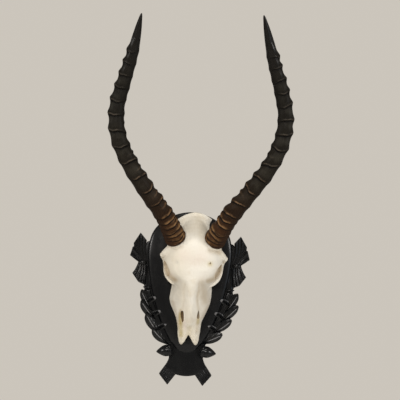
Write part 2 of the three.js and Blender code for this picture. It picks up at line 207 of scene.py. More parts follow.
# From the back's edge round to the flat middle: how far in from the outline, and how deep.
PANEL_EDGE = [
    (0, 0), (0, 6), (0, 11.5), (0.3, 13.2), (1.0, 14.8), (2.2, 16.1), (4, 17.1), (7, 18.1), (11, 19.2),
    (15, 20.2), (19, 21), (23, 21.6), (27, 21.9), (31, PANEL_DEPTH),
]
GROUND_DEPTH = 11
TAIL_DEPTH = 13.5
TAIL_LENGTH = 40
FLUTE_HEIGHT = 2.3
GARLAND_DEPTH = 14
LEAF_DEPTH = 12.5


def deselect():
    if bpy.context.object and bpy.context.object.mode != "OBJECT":
        bpy.ops.object.mode_set(mode="OBJECT")
    bpy.ops.object.select_all(action="DESELECT")


def edit(piece):
    deselect()
    piece.select_set(True)
    bpy.context.view_layer.objects.active = piece
    bpy.ops.object.mode_set(mode="EDIT")


def points_of(piece):
    """The piece's points, in millimetres."""
    flat = np.empty(len(piece.data.vertices) * 3)
    piece.data.vertices.foreach_get("co", flat)
    return flat.reshape(-1, 3) / MM


def set_points(piece, points):
    piece.data.vertices.foreach_set("co", (points * MM).ravel())
    piece.data.update()


def at(x, depth, z):
    """Rows of x, y and z from places given by their depth in front of the wall."""
    x, depth, z = np.broadcast_arrays(x, depth, z)
    return np.stack([x, -depth, z], axis=-1).astype(float)


def apply_modifier(piece, kind, **settings):
    deselect()
    piece.select_set(True)
    bpy.context.view_layer.objects.active = piece
    modifier = piece.modifiers.new(kind.lower(), kind)
    for name, value in settings.items():
        setattr(modifier, name, value)
    bpy.ops.object.modifier_apply(modifier=modifier.name)


def joined(first, *others):
    deselect()
    for piece in (first, *others):
        piece.select_set(True)
    bpy.context.view_layer.objects.active = first
    bpy.ops.object.join()
    return first


def outward(piece):
    """Points all faces out, and merges doubled points."""
    edit(piece)
    bpy.ops.mesh.select_all(action="SELECT")
    bpy.ops.mesh.remove_doubles(threshold=0.00001)
    bpy.ops.mesh.normals_make_consistent(inside=False)
    bpy.ops.object.mode_set(mode="OBJECT")
    return piece


def smooth_line(points, steps=40, closed=False):
    """Close points on a centripetal Catmull-Rom curve through the given ones."""
    p = np.array(points, float)
    ends = (p[-1:], p[:2]) if closed else (2 * p[:1] - p[1:2], 2 * p[-1:] - p[-2:-1])
    p = np.vstack([ends[0], p, ends[1]])
    reach = np.linalg.norm(np.diff(p, axis=0), axis=1) ** 0.5
    t = np.linspace(0, 1, steps, endpoint=False)[:, None]
    line = []
    for i in range(1, len(p) - 2):
        before, start, stop, after = p[i - 1:i + 3]
        r0, r1, r2 = reach[i - 1:i + 2]
        leave = ((start - before) / r0 - (stop - before) / (r0 + r1) + (stop - start) / r1) * r1
        arrive = ((stop - start) / r1 - (after - start) / (r1 + r2) + (after - stop) / r2) * r1
        line.append((2 * t**3 - 3 * t**2 + 1) * start + (t**3 - 2 * t**2 + t) * leave
                    + (3 * t**2 - 2 * t**3) * stop + (t**3 - t**2) * arrive)
    return np.vstack([*line, p[-2:-1]])


def evenly(line, count, closed=False):
    """That many points along a line, the same distance apart."""
    along = np.r_[0, np.cumsum(np.linalg.norm(np.diff(line, axis=0), axis=1))]
    wanted = np.linspace(0, along[-1], count, endpoint=not closed)
    return np.stack([np.interp(wanted, along, line[:, axis]) for axis in range(line.shape[1])], axis=1)


def rising(value, low, high):
    share = np.clip((value - low) / (high - low), 0, 1)
    return share * share * (3 - 2 * share)


def board(outline, depth, bevel, segments=2):
    """A flat board cut to an outline of (x, z), with its front edge rounded off."""
    outline = np.array(outline, float)
    bpy.ops.mesh.primitive_circle_add(vertices=len(outline), fill_type="NGON")
    piece = bpy.context.object
    set_points(piece, at(outline[:, 0], 0, outline[:, 1]))
    edit(piece)
    bpy.ops.mesh.select_all(action="SELECT")
    bpy.ops.mesh.extrude_region_move(TRANSFORM_OT_translate={"value": (0, -depth * MM, 0)})
    bpy.ops.mesh.bevel(offset=bevel * MM, segments=segments, profile=0.5, affect="EDGES")
    return outward(piece)


def store(piece, name, values, kind="FLOAT"):
    layer = piece.data.attributes.new(name, kind, "POINT")
    field = "vector" if kind == "FLOAT_VECTOR" else "value"
    layer.data.foreach_set(field, np.ascontiguousarray(values, np.float32).ravel())


def relief(columns, rows, surface, ridge=None):
    """A carved form: a grid moved to its front surface, then drawn back square to the wall.

    Where the highlight mask gives 1, the paint is painted light grey: a painted highlight.
    """
    bpy.ops.mesh.primitive_grid_add(x_subdivisions=columns, y_subdivisions=rows, size=1)
    piece = bpy.context.object
    grid = points_of(piece) * MM
    across, along = grid[:, 0] + 0.5, grid[:, 1] + 0.5
    set_points(piece, surface(across, along))
    store(piece, "ridge", ridge(across, along) if ridge else np.zeros(len(grid)))
    edit(piece)
    bpy.ops.mesh.select_all(action="SELECT")
    bpy.ops.mesh.extrude_region_move(TRANSFORM_OT_translate={"value": (0, 0.05, 0)})
    bpy.ops.object.mode_set(mode="OBJECT")
    drawn = np.array([vertex.select for vertex in piece.data.vertices])
    points = points_of(piece)
    points[drawn, 1] = 0
    set_points(piece, points)
    for mark, behind in zip(piece.data.attributes["ridge"].data, drawn):
        if behind:
            mark.value = 0
    return outward(piece)


def on_side(side, places):
    return [(place[0] * side, *place[1:]) for place in places]


def on_edge(line, share):
    """The places at some shares of the way through a line's points."""
    line = np.array(line, float)
    place = np.linspace(0, 1, len(line))
    return [np.interp(share, place, line[:, axis]) for axis in (0, 1)]


def fluted_tail(root, end, flutes, depth=TAIL_DEPTH, curl=0.0):
    """A ribbon tail whose flutes fan out from its root to its cut end."""
    def surface(across, along):
        (root_x, root_z), (end_x, end_z) = on_edge(root, across), on_edge(end, across)
        bow = curl * np.sin(np.pi * along)
        x = root_x + (end_x - root_x) * along + bow * (end_z - root_z) / TAIL_LENGTH
        z = root_z + (end_z - root_z) * along - bow * (end_x - root_x) / TAIL_LENGTH
        flute = 0.5 - 0.5 * np.cos(2 * np.pi * flutes * across)
        rim = 0.8 * rising(np.abs(across - 0.5), 0.44, 0.5)
        height = FLUTE_HEIGHT * (0.35 + 0.65 * along) * flute**1.3 + rim
        lift = 1.5 * np.sin(np.pi * across) + 1.2 * rising(along, 0.5, 1)
        return at(x, depth + height + lift, z)
    return relief(flutes * 10, 14, surface)


def leaf(root, tip, outer, inner, height=4.6, lift=4.0, veining=0.3, small=False):
    """A carved leaf with a blunt, raised tip: a thin midrib on hollowed blades with faint side veins."""
    root, tip = np.array(root, float), np.array(tip, float)
    length = np.linalg.norm(tip - root)
    axis = (tip - root) / length
    side = np.array([axis[1], -axis[0]]) * (1 if root[0] > 0 else -1)

    def surface(across, along):
        place = 2 * across - 1
        place = np.sign(place) * np.abs(place) ** 1.5  # closer columns at the midrib
        far = np.abs(place)
        outline = np.where(along < 0.6, 0.34 + 0.66 * np.sin(np.pi / 2 * np.clip(along / 0.6, 0, 1)) ** 1.2,
                           np.clip(1 - np.clip((along - 0.6) / 0.42, 0, 1) ** 2.6, 0, 1) ** 0.5)
        reach = np.where(place > 0, outer, inner) * outline * place
        up = along * (length - 2.5) + 2.5 * (1 - place**2) * rising(along, 0.8, 1)
        sweep = 1.4 * np.sin(np.pi * along)
        x = root[0] + axis[0] * up + side[0] * (reach + sweep)
        z = root[1] + axis[1] * up + side[1] * (reach + sweep)
        swell = np.sin(np.pi * np.clip(along, 0, 1) ** 0.85 * 0.94) ** 0.6
        blade = 1 - far**1.2 - 0.9 * far * (1 - far)
        midrib = 1.9 * np.exp(-(reach / 0.9) ** 2) * (1 - rising(along, 0.84, 0.95))
        vein = np.abs(np.sin(np.pi * 4 * (along - 0.42 * far**1.2))) ** 0.7 - 0.6
        vein = veining * vein * np.sin(np.pi * np.clip(far, 0, 1))
        edge = 0.9 * rising(far, 0.86, 1)
        depth = LEAF_DEPTH + (height * blade + midrib + vein - edge) * swell + lift * along**2
        return at(x, depth, z)

    # Painted highlight: a light grey line along each big leaf's midrib, and a short arc on each small
    # leaf's raised tip.
    def ridge(across, along):
        far = np.abs(2 * across - 1) ** 1.5
        if small:
            return rising(along, 0.85, 0.9) * (1 - rising(along, 0.93, 0.98)) * (1 - rising(far, 0.4, 0.85))
        return (1 - rising(far, 0.03, 0.13)) * rising(along, 0.25, 0.5) * (1 - rising(along, 0.86, 0.92))
    return relief(30, 44, surface, ridge)


def turned(profile, start, stop):
    """A turned form on an axis between two places: a sphere moved to a profile of (along, radius)."""
    bpy.ops.mesh.primitive_uv_sphere_add(segments=40, ring_count=len(profile) + 1, radius=1)
    piece = bpy.context.object
    ring, turn = rings_of(piece, len(profile))
    middle = [(profile[0][0], 0), *profile, (profile[-1][0], 0)]
    along = np.array([row[0] for row in middle])[ring]
    radius = np.array([row[1] for row in middle])[ring]
    start, stop = at(*start), at(*stop)
    axis = Vector(stop - start).normalized()
    across = axis.orthogonal().normalized()
    upright = axis.cross(across)
    points = (start + np.outer(along, axis) + np.outer(radius * np.cos(turn), across)
              + np.outer(radius * np.sin(turn), upright))
    set_points(piece, points)
    return outward(piece)


def rings_of(sphere, count):
    """Each point's ring, counted from the upper pole, and its turn about the sphere's axis."""
    co = points_of(sphere) * MM
    down = np.arctan2(np.hypot(co[:, 0], co[:, 1]), co[:, 2])
    return np.rint(down / np.pi * (count + 1)).astype(int), np.arctan2(co[:, 1], co[:, 0])


def egg(place, radii, turn=0.0):
    """An egg at (x, depth, z) with half sizes along each, turned in the view."""
    bpy.ops.mesh.primitive_uv_sphere_add(segments=28, ring_count=18, radius=MM)
    piece = bpy.context.object
    piece.scale = radii
    piece.rotation_euler = (0, math.radians(turn), 0)
    piece.location = Vector(at(*place)) * MM
    bpy.ops.object.transform_apply(location=True, rotation=True, scale=True)
    return piece


def united(pieces):
    """One solid from many that overlap."""
    first, *others = pieces
    group = bpy.data.collections.new("overlapping")
    bpy.context.scene.collection.children.link(group)
    for piece in others:
        group.objects.link(piece)
    apply_modifier(first, "BOOLEAN", operation="UNION", operand_type="COLLECTION",
                   collection=group, solver="MANIFOLD")
    for piece in others:
        bpy.data.objects.remove(piece)
    bpy.data.collections.remove(group)
    return first


def hollowed(piece, tools):
    """The piece with the tools' shapes cut out of it."""
    cutter = joined(*tools)
    apply_modifier(piece, "BOOLEAN", operation="DIFFERENCE", object=cutter, solver="EXACT")
    bpy.data.objects.remove(cutter)
    return piece


def block(width, height, back, front, z):
    """A box between two depths, with its middle at x = 0."""
    bpy.ops.mesh.primitive_cube_add(size=MM, location=Vector(at(0, (back + front) / 2, z)) * MM)
    piece = bpy.context.object
    piece.scale = (width, front - back, height)
    bpy.ops.object.transform_apply(location=True, rotation=True, scale=True)
    return piece


def screw_bores(places, profile):
    return [turned(profile, (x, 0, z), (x, 1, z)) for x, z in places]


def egg_panel():
    """The smooth centre panel: its edge is rounded over, and its border slopes up to the flat middle."""
    half = np.array(PANEL_HALF, float)
    outline = smooth_line(np.vstack([half, (half[1:-1] * (-1, 1))[::-1]]), closed=True)
    outline = evenly(outline, PANEL_POINTS, closed=True)
    bpy.ops.mesh.primitive_uv_sphere_add(segments=PANEL_POINTS, ring_count=len(PANEL_EDGE) + 1, radius=1)
    piece = bpy.context.object
    ring, turn = rings_of(piece, len(PANEL_EDGE))
    step = np.rint(turn / (2 * np.pi) * PANEL_POINTS).astype(int) % PANEL_POINTS
    inset, depth = np.array([PANEL_EDGE[0], *PANEL_EDGE, PANEL_EDGE[-1]], float)[ring].T
    spoke = outline[step] - PANEL_MIDDLE
    reach = np.linalg.norm(spoke, axis=1)
    share = np.where((ring == 0) | (ring == len(PANEL_EDGE) + 1), 0, 1 - inset / reach)
    place = PANEL_MIDDLE + spoke * share[:, None]
    set_points(piece, at(place[:, 0], depth, place[:, 1]))
    return outward(piece)


panel = egg_panel()
store(panel, "ridge", np.zeros(len(panel.data.vertices)))

GROUND = [
    (60, 112), (82, 104), (92, 84), (97, 64), (96, 52), (90, 32), (83, 18), (86, 4), (85, -9),
    (76, -33), (58, -61), (35, -88), (30, -118), (0, -118), (0, -60), (50, 20),
]
TAILS = [
    ([(78, 68), (95, 66)], [(83, 106.5), (95, 120.5), (107, 101)], 4, 3.0),
    ([(89, 76), (93, 64)], [(99, 95), (108.5, 94), (113, 77.5), (98, 66.5)], 4, 0.0),
    ([(97, 66), (82, 66)], [(107.5, 44.5), (95.5, 28), (86, 24)], 4, 2.0),
]
STEM_ROOT, STEM_END = [(84, 15), (67, 19)], [(82, 60), (74, 60)]
KNOT_PLACE, KNOT_RADII = (89, TAIL_DEPTH, 65), (8.5, 6.5, 5)
TIE_PLACE, TIE_RADII = (77, GROUND_DEPTH + 1, 18.5), (9.5, 6.5, 2.4)
LEFT_LEAVES = [
    ((-66, -27), (-89.5, 13), 7.5, 9), ((-59.6, -42), (-89, -7), 8.8, 9),
    ((-51.5, -68.4), (-79, -30.5), 9.2, 9), ((-34.9, -86.5), (-66, -58.5), 9, 9),
]
RIGHT_LEAVES = [
    ((68.5, -26), (94, 12), 7, 9), ((61.4, -43), (95.5, -11), 6.5, 10.5),
    ((47.6, -64), (84, -38), 6.5, 10.5), ((26, -83), (67.5, -65.5), 7.5, 10.5),
]
GARLAND = [
    (73, 15), (66, -8), (56, -32), (44, -56), (31, -80), (39, -84), (55, -62), (69, -38), (79, -14),
    (83, 12),
]
INNER_LEAVES = [((82, -14), (60, 1)), ((73, -40), (50, -24)), ((60, -64), (38, -49))]
BUD = [
    (0, 11.5), (2, 12.6), (4.5, 13), (6, 12.2), (6.6, 10.6), (8, 10.9), (12, 10.9), (16, 9.6),
    (20, 7.4), (24, 4.8), (27, 2.4), (28.6, 0.8),
]
BUD_STEM, BUD_TIP = (28, 11, -98.5), (57, 9.5, -103)
carved = [panel]
for side in (1, -1):
    carved.append(board(on_side(side, GROUND), GROUND_DEPTH, 0.8))
    carved.append(board(on_side(side, GARLAND), GARLAND_DEPTH, 2.5, 4))
    for root, end, flutes, curl in TAILS:
        carved.append(fluted_tail(on_side(side, root), on_side(side, end), flutes, curl=curl * side))
    carved.append(fluted_tail(on_side(side, STEM_ROOT), on_side(side, STEM_END), 2, GROUND_DEPTH))
    knot, tie, *bud = on_side(side, [KNOT_PLACE, TIE_PLACE, BUD_STEM, BUD_TIP])
    carved += [egg(knot, KNOT_RADII), egg(tie, TIE_RADII)]
    for root, tip, outer, inner in (RIGHT_LEAVES if side > 0 else LEFT_LEAVES):
        carved.append(leaf(root, tip, outer, inner))
    for line in INNER_LEAVES:
        root, tip = on_side(side, line)
        carved.append(leaf(root, tip, 6, 6, height=4.2, lift=5.8, veining=0.1, small=True))
    carved.append(turned(BUD, *bud))

# The bow's gathered middle as (height, half width), and the root and the cut end of its tails.
BOW_EDGE = [(-88, 22), (-97, 26), (-108, 31), (-118, 33.5), (-126, 37), (-131, 38), (-136, 35), (-140, 29)]
BOW_FOLDS = 6
BOW_TAIL_ROOT, BOW_TAIL_END = [(36, -124), (16, -141)], [(49.5, -144), (33, -164)]
BOW_TAIL_DEPTH = 11.5


def bow_band():
    """The gathered middle of the bow: a broad low swell with soft folds and a bowed lower edge."""
    def surface(across, along):
        place = 2 * across - 1
        level = BOW_EDGE[0][0] + (BOW_EDGE[-1][0] - BOW_EDGE[0][0]) * along
        heights, widths = np.array(BOW_EDGE[::-1], float).T
        x = np.interp(level, heights, widths) * place
        level = level - 6.5 * (1 - place**2) * rising(along, 0.7, 1)
        folds = 0.3 * np.cos(2 * np.pi * BOW_FOLDS * across) * (0.2 + 0.8 * place**2)
        swell = 3.4 * (1 - np.abs(place) ** 4) * np.sin(np.pi * (0.16 + 0.74 * along)) ** 0.5
        return at(x, GROUND_DEPTH + 1.5 + swell + folds * np.sin(np.pi * along) ** 0.4, level)
    return relief(BOW_FOLDS * 10, 36, surface)


carved.append(bow_band())
for side in (1, -1):
    root, end = on_side(side, BOW_TAIL_ROOT), on_side(side, BOW_TAIL_END)
    carved.append(fluted_tail(root, end, 4, BOW_TAIL_DEPTH))
shield = united(carved)

# Bores and pockets cut from the back: how far in, and how wide.
PLATE_HEIGHT = 128
SKULL_SCREWS = [(8, 92), (4.5, -16)]
SKULL_BORE = [(-3, 4.8), (1.4, 4.8), (3.7, 2.5), (39.8, 2.5), (45.1, 0.2)]
PLATE_SCREWS = [(-21, PLATE_HEIGHT), (21, PLATE_HEIGHT)]
PLATE_BORE = [(-3, 3.1), (1.3, 3.1), (2.8, 1.6), (7.7, 1.6), (13, 0.2)]
# Blocks to cut away, as width, height, and the depths of their back and front.
BEHIND_WALL = (400, 600, -40, 0)
PLATE_POCKET = (56.6, 18.6, -1, 2.5)
NAIL_ROOM = (12, 14, -1, 11)
cutters = [
    block(*BEHIND_WALL, 0), block(*PLATE_POCKET, PLATE_HEIGHT), block(*NAIL_ROOM, PLATE_HEIGHT),
    *screw_bores(PLATE_SCREWS, PLATE_BORE), *screw_bores(SKULL_SCREWS, SKULL_BORE),
]
for cutter in cutters:
    apply_modifier(shield, "BOOLEAN", operation="DIFFERENCE", object=cutter, solver="MANIFOLD")
    bpy.data.objects.remove(cutter)

black_paint, wire = new_finish("black_paint", IOR=1.5, Specular_IOR_Level=0.33)
place = wire.place()
grain = place.stretched((90, 90, 7)).noise(1.0, 4, 0.6)
brushed = place.stretched((240, 240, 60)).noise(1.0, 3)
dust = place.noise(26, 5, 0.6).rising(0.45, 0.75)
paint = (0.55 * dust * grain).mixed(rgb(0.0045, 0.0048, 0.0056), rgb(0.017, 0.016, 0.015))
# The marked midribs and leaf tips are painted light grey: a painted highlight.
finish_with(
    black_paint,
    Base_Color=wire.attribute("ridge").mixed(paint, rgb(0.25, 0.25, 0.26)),
    Roughness=0.21 + 0.08 * dust + 0.07 * grain,
    Normal=brushed.bump(0.00012, grain.bump(0.0003, strength=0.35), strength=0.3),
)


CREASE_ANGLE = 38


def dress(piece, name, material, slot, *nodes):
    """Gives a finished piece its name, material and place in the frame."""
    deselect()
    piece.select_set(True)
    bpy.context.view_layer.objects.active = piece
    bpy.ops.object.shade_smooth_by_angle(angle=math.radians(CREASE_ANGLE))
    piece.name = piece.data.name = name
    piece.data.materials.clear()
    piece.data.materials.append(material)
    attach(piece, "root")
    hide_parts(*nodes)


dress(shield, "carved_shield", black_paint, "black_paint", "shield")

# ---------------------------------------------------------------- screws and hanger plate
# Two countersunk steel screws come through the board from behind into the skull, and a zinc
# plated keyhole plate with two small screws is let into the board's back.

steel, wire = new_finish("screw_steel", Metallic=1.0)
place = wire.place()
turned_marks = place.stretched((900, 900, 900)).noise(1.0, 2)
tarnish = place.noise(160, 4, 0.6).rising(0.5, 0.75)
finish_with(
    steel,
    Base_Color=tarnish.mixed(rgb(0.56, 0.56, 0.55), rgb(0.30, 0.27, 0.22)),
    Roughness=0.3 + 0.25 * tarnish + 0.06 * turned_marks,
    Normal=turned_marks.bump(0.00004, strength=0.5),
)
zinc, wire = new_finish("zinc_plate", Metallic=1.0)
place = wire.place()
rolled = place.stretched((40, 900, 900)).noise(1.0, 3)
spangle = wire.node("TexVoronoi", {}, {"Vector": place, "Scale": 260.0}, "Color")
finish_with(
    zinc,
    Base_Color=(0.3 * rolled).mixed(rgb(0.55, 0.57, 0.60), rgb(0.40, 0.41, 0.42)),
    Roughness=0.28 + 0.2 * wire.node("SeparateColor", {}, {0: spangle}),
    Normal=rolled.bump(0.00003, strength=0.5),
)
for node, metal in [("skull_screw_upper", steel), ("skull_screw_lower", steel), ("hanger_plate", zinc),
                    ("hanger_screw_left", steel), ("hanger_screw_right", steel)]:
    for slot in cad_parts[node].material_slots:
        slot.material = metal

# ---------------------------------------------------------------- horns
# Two sheaths of keratin, grown cone on cone over the bony cores, so each ring is the edge of a
# cone. They are slipped over the cores. Low down the rings stand out inside, higher up outside.

HORN_SIDES = 112
HORN_STEPS = 560
SOCKET_LENGTH = 64
SOCKET_RADIUS = 13.3
SOCKET_END_RADIUS = 3
LIP = [(0, 14.2), (-0.1, 16), (0, 17.6), (0.5, 18.7), (1.4, 19.3)]
SKIN_START = 2.2
SMOOTH_TIP = 62
RING_PEAK = 4.2
RING_FOOT = 3.4
RING_PITCH = 28
INNER_RING_GAP = 16
HORN_RADIUS = [
    (0, 19.2), (0.05, 17.8), (0.2, 15), (0.45, 13.6), (0.65, 12.6), (0.78, 10.8), (0.87, 8.6),
    (0.94, 5.6), (0.985, 2.6),
]
# Centre lines as (x, depth, z). Rings as (place at the front, rise on the inner side, rise outside).
HORNS = {
    "left": dict(
        side=-1,
        line=[(-26.5, 70, 112.5), (-49, 106, 156), (-82, 139.5, 201), (-113.5, 163, 249),
              (-133, 176, 295), (-136, 186, 341), (-124.5, 200.5, 387), (-110.5, 221.5, 433),
              (-95.5, 260.5, 496)],
        rings=[(6, 1, 0), (14, 1, 1), (22, -1, 1), (31, 2, 1), (42, 3, 2), (54, 1, 2),
               (69, -3, 2), (99, 0, 2), (129, 3, 2), (160, -6, 5), (191, -2, 6), (220, -1, 6),
               (249, -5, 5), (277, 2, 3), (303, 2, -1), (327, 1, 1), (350, 0, 2), (373, 0, 0),
               (396, 0, -2)],
        inner_rings=[52, 85, 113, 172, 202, 262],
        seed=3,
    ),
    "right": dict(
        side=1,
        line=[(43.5, 70, 111.5), (68.5, 107, 155.5), (101.5, 141, 201), (133.5, 164.5, 247),
              (153.5, 178, 294), (157.5, 187, 337), (147.5, 200, 381), (131.5, 220, 428),
              (109, 265, 500)],
        rings=[(6, 1, 0), (13, 0, 1), (22, 2, 1), (33, -1, 1), (50, 3, 2), (64, 1, 2),
               (80, -2, 2), (110, -9, 2), (139, 4, 2), (169, -2, 3), (199, -6, 7), (229, 2, 6),
               (256, -1, 5), (282, 0, 2), (308, 0, 2), (332, 0, 0), (355, 0, -1), (378, 0, 0),
               (400, 0, -3)],
        inner_rings=[124, 213],
        seed=8,
    ),
}


class HornLine:
    """The centre line of a horn: places, and the directions along, to the front and outward."""

    def __init__(self, side, line):
        self.side = side
        self.points = smooth_line(at(*np.array(line, float).T), 60)
        self.along = np.r_[0, np.cumsum(np.linalg.norm(np.diff(self.points, axis=0), axis=1))]
        self.length = self.along[-1]
        self.axes = np.gradient(self.points, self.along, axis=0)

    def bend(self, along, radius, turn):
        """Where points at a radius and a turn from the front end up, far along the line."""
        inside = np.clip(along, 0, self.length)
        centre, axis = [np.stack([np.interp(inside, self.along, rows[:, i]) for i in range(3)], axis=1)
                        for rows in (self.points, self.axes)]
        axis /= np.linalg.norm(axis, axis=1)[:, None]
        centre += axis * (along - inside)[:, None]
        outward = np.cross(axis, (0, -1, 0))
        outward /= np.linalg.norm(outward, axis=1)[:, None]
        front = np.cross(outward, axis)
        outward *= self.side
        return (centre + front * (radius * np.cos(turn))[:, None]
                + outward * (radius * np.sin(turn))[:, None])


def ring_strength(share, turn):
    """How far a ring stands out round the horn: inside low down, outside higher up."""
    strongest = np.radians(-55 + 110 * rising(share, 0.3, 0.7))
    facing = (1 + np.cos(turn - strongest)) / 2
    return 0.2 + 0.8 * facing**0.8


def horn_skin(line, rings, inner_rings, seed, along, turn):
    """Height of the rings, and masks: lighter front crests (wear and painted highlight), painted shade
    under them, painted sheen on their bellies.
    """
    rng = np.random.RandomState(seed)
    share = along / line.length
    inner = np.clip(-np.sin(turn), 0, 1) ** 1.5
    outer = np.clip(np.sin(turn), 0, 1) ** 1.5
    sideways = rising(np.abs(np.sin(turn)), 0.66, 0.98)
    strength = ring_strength(share, turn)
    # The lit front of each ring. Its crests are painted lighter there, partly as wear and partly as a
    # painted highlight.
    ahead = np.cos(turn - np.radians(-22 + 46 * rising(share, 0.3, 0.6)))
    rubbed_and_lit = rising(ahead, 0.45, 0.95)
    height, crest, groove, belly = np.zeros((4, len(along)))
    places = [front for front, _, _ in rings]
    gaps = np.diff([*places, places[-1] + RING_PITCH])
    marks = [(front, gap, inside, outside, 1.0) for (front, inside, outside), gap in zip(rings, gaps)]
    marks += [(place, INNER_RING_GAP, 0, 0, 0.0) for place in inner_rings]
    for front, gap, inside, outside, all_round in marks:
        phase = rng.uniform(0, 2 * np.pi, 3)
        wander = 0.9 * np.sin(2 * turn + phase[0]) + 0.7 * np.sin(3 * turn + phase[1])
        wander += 0.4 * np.sin(7 * turn + phase[2])
        past = along - front - inside * inner - outside * outer - wander
        spread = min(1, gap / RING_PITCH)
        foot = RING_FOOT * (0.5 + 0.5 * spread)
        toward = np.clip(past / (0.96 * gap), 0, 1)
        barrel = 0.72 * (1 - toward) ** 0.9 + 0.5 * np.sin(np.pi * toward) ** 1.2
        saw = np.where(past < 0, 0.72 * rising(past, -foot, 0), barrel)
        swell = np.exp(-(past / (0.24 * gap)) ** 2)
        shape = saw * (1 - sideways) + swell * sideways
        lip = np.exp(-((past - 0.2) / 1.3) ** 2) - 0.4 * np.exp(-((past - 3) / 1) ** 2)
        reach = strength * (all_round + (1 - all_round) * inner**0.7 * 0.8)
        peak = RING_PEAK * (0.42 + 0.58 * spread) * (1 - 0.3 * front / line.length)
        peak *= rng.uniform(0.85, 1.1)
        height = np.maximum(height, peak * reach * shape + 0.8 * reach * (0.25 + 0.75 * rubbed_and_lit) * lip)
        wide = 1.2 + 1.4 * (1 - rising(share, 0.08, 0.3))
        # Crest: lighter colour on the front of each lip, partly wear and partly a painted highlight.
        crest = np.maximum(crest, rubbed_and_lit * reach * np.exp(-((past - 0.5 * wide) / wide) ** 2))
        # Painted sheen: a soft lighter patch on the front of each ring's belly.
        belly = np.maximum(belly, all_round * rising(ahead, 0.3, 1) * np.sin(np.pi * toward) ** 1.5)
        # Painted shade under each lip, and in a fine groove just above it.
        groove = np.maximum(groove, reach * np.exp(-((past + foot * 0.8) / 1.9) ** 2))
        groove = np.maximum(groove, 0.6 * rubbed_and_lit * reach * np.exp(-((past - 2.6) / 0.8) ** 2))
    return height, crest, groove, belly


def horn_sheath(side, line, rings, inner_rings, seed):
    """A hollow horn, from the end of its socket out to the lip and up the ringed skin to the tip."""
    line = HornLine(side, line)
    widening = SOCKET_RADIUS - SOCKET_END_RADIUS
    inside = [(SOCKET_LENGTH * (1 - share), SOCKET_END_RADIUS + widening * share)
              for share in np.linspace(0.2, 0.96, 8)]
    base = [(SOCKET_LENGTH - 2, SOCKET_END_RADIUS), *inside, (0.4, SOCKET_RADIUS), *LIP]
    radius_at = smooth_line(HORN_RADIUS, 30)
    along_skin = SKIN_START + (line.length - SKIN_START) * np.linspace(0, 1, HORN_STEPS - len(base))
    base_along = np.r_[[row[0] for row in base], along_skin]
    share = along_skin / line.length
    skin_radius = np.interp(share, radius_at[:, 0], radius_at[:, 1])
    skin_radius *= np.sqrt(np.clip((1 - share) / 0.015, 0, 1))
    base_radius = np.r_[[row[1] for row in base], skin_radius]
    bpy.ops.mesh.primitive_uv_sphere_add(segments=HORN_SIDES, ring_count=HORN_STEPS + 1, radius=1)
    piece = bpy.context.object
    ring, turn = rings_of(piece, HORN_STEPS)
    along = np.r_[SOCKET_LENGTH, base_along, line.length][ring]
    radius = np.r_[0, base_radius, 0][ring]
    height, crest, groove, belly = horn_skin(line, rings, inner_rings, seed, along, turn)
    fade = rising(along, 0, 5) * rising(line.length - along, 25, SMOOTH_TIP)
    outside = ring > len(base)
    ribs = 0.1 * np.sin(23 * turn + 0.02 * along) + 0.06 * np.sin(41 * turn)
    radius = radius + np.where(outside, fade * height + ribs * rising(radius, 2, 8), 0)
    set_points(piece, line.bend(along, radius, turn))
    straight = np.stack([15 * np.cos(turn), 15 * np.sin(turn), along], axis=1)
    store(piece, "straight", straight, "FLOAT_VECTOR")
    store(piece, "share", along / line.length)
    store(piece, "crest", np.where(outside, crest * fade, 0))
    store(piece, "groove", np.where(outside, groove * fade, 0))
    store(piece, "belly", np.where(outside, belly * fade, 0))
    return outward(piece)


horn, wire = new_finish("ringed_horn", IOR=1.5, Specular_IOR_Level=0.1, Coat_Roughness=0.3)
straight = wire.attribute("straight", "Vector")
share = wire.attribute("share")
crest = wire.attribute("crest")
groove = wire.attribute("groove")
fibres = straight.stretched((0.9, 0.9, 0.035)).noise(1.0, 5, 0.62)
streaks = straight.stretched((0.22, 0.22, 0.02)).noise(1.0, 3)
patches = straight.noise(0.05, 2, 0.5)
chipped = straight.stretched((1, 1, 2)).noise(0.11, 3, 0.5)
# Crests on the lit front: partly worn horn, partly a painted highlight.
worn_and_lit = (crest * (1.2 * chipped.rising(0.3, 0.66) * (0.35 + patches))).clamped()
skin = share.ramp(
    (0.0, rgb(0.034, 0.014, 0.0055)), (0.15, rgb(0.017, 0.008, 0.0036)),
    (0.33, rgb(0.0105, 0.0078, 0.005)), (0.62, rgb(0.009, 0.0078, 0.0058)),
    (0.8, rgb(0.0072, 0.0058, 0.0042)), (0.92, rgb(0.004, 0.003, 0.002)),
)
# Colour of the lit, rubbed crests: part wear, part painted highlight.
rubbed_and_lit = share.ramp(
    (0.0, rgb(0.25, 0.14, 0.058)), (0.14, rgb(0.24, 0.13, 0.057)), (0.26, rgb(0.16, 0.10, 0.058)),
    (0.42, rgb(0.085, 0.068, 0.05)), (0.7, rgb(0.048, 0.04, 0.031)), (0.9, rgb(0.012, 0.009, 0.006)),
)
# Colour of the painted sheen on the ring bellies.
sheen = share.ramp(
    (0.0, rgb(0.10, 0.04, 0.013)), (0.14, rgb(0.036, 0.016, 0.0065)), (0.3, rgb(0.034, 0.029, 0.021)),
    (0.62, rgb(0.030, 0.0275, 0.021)), (0.85, rgb(0.008, 0.006, 0.004)),
)
belly = (wire.attribute("belly") * patches.rising(0.3, 0.65)).clamped()
body = (0.05 * fibres.rising(0.45, 0.8) + 0.03 * streaks).mixed(skin, rubbed_and_lit)
body = (0.75 * belly).mixed(body, sheen)
body = worn_and_lit.mixed(body, rubbed_and_lit)
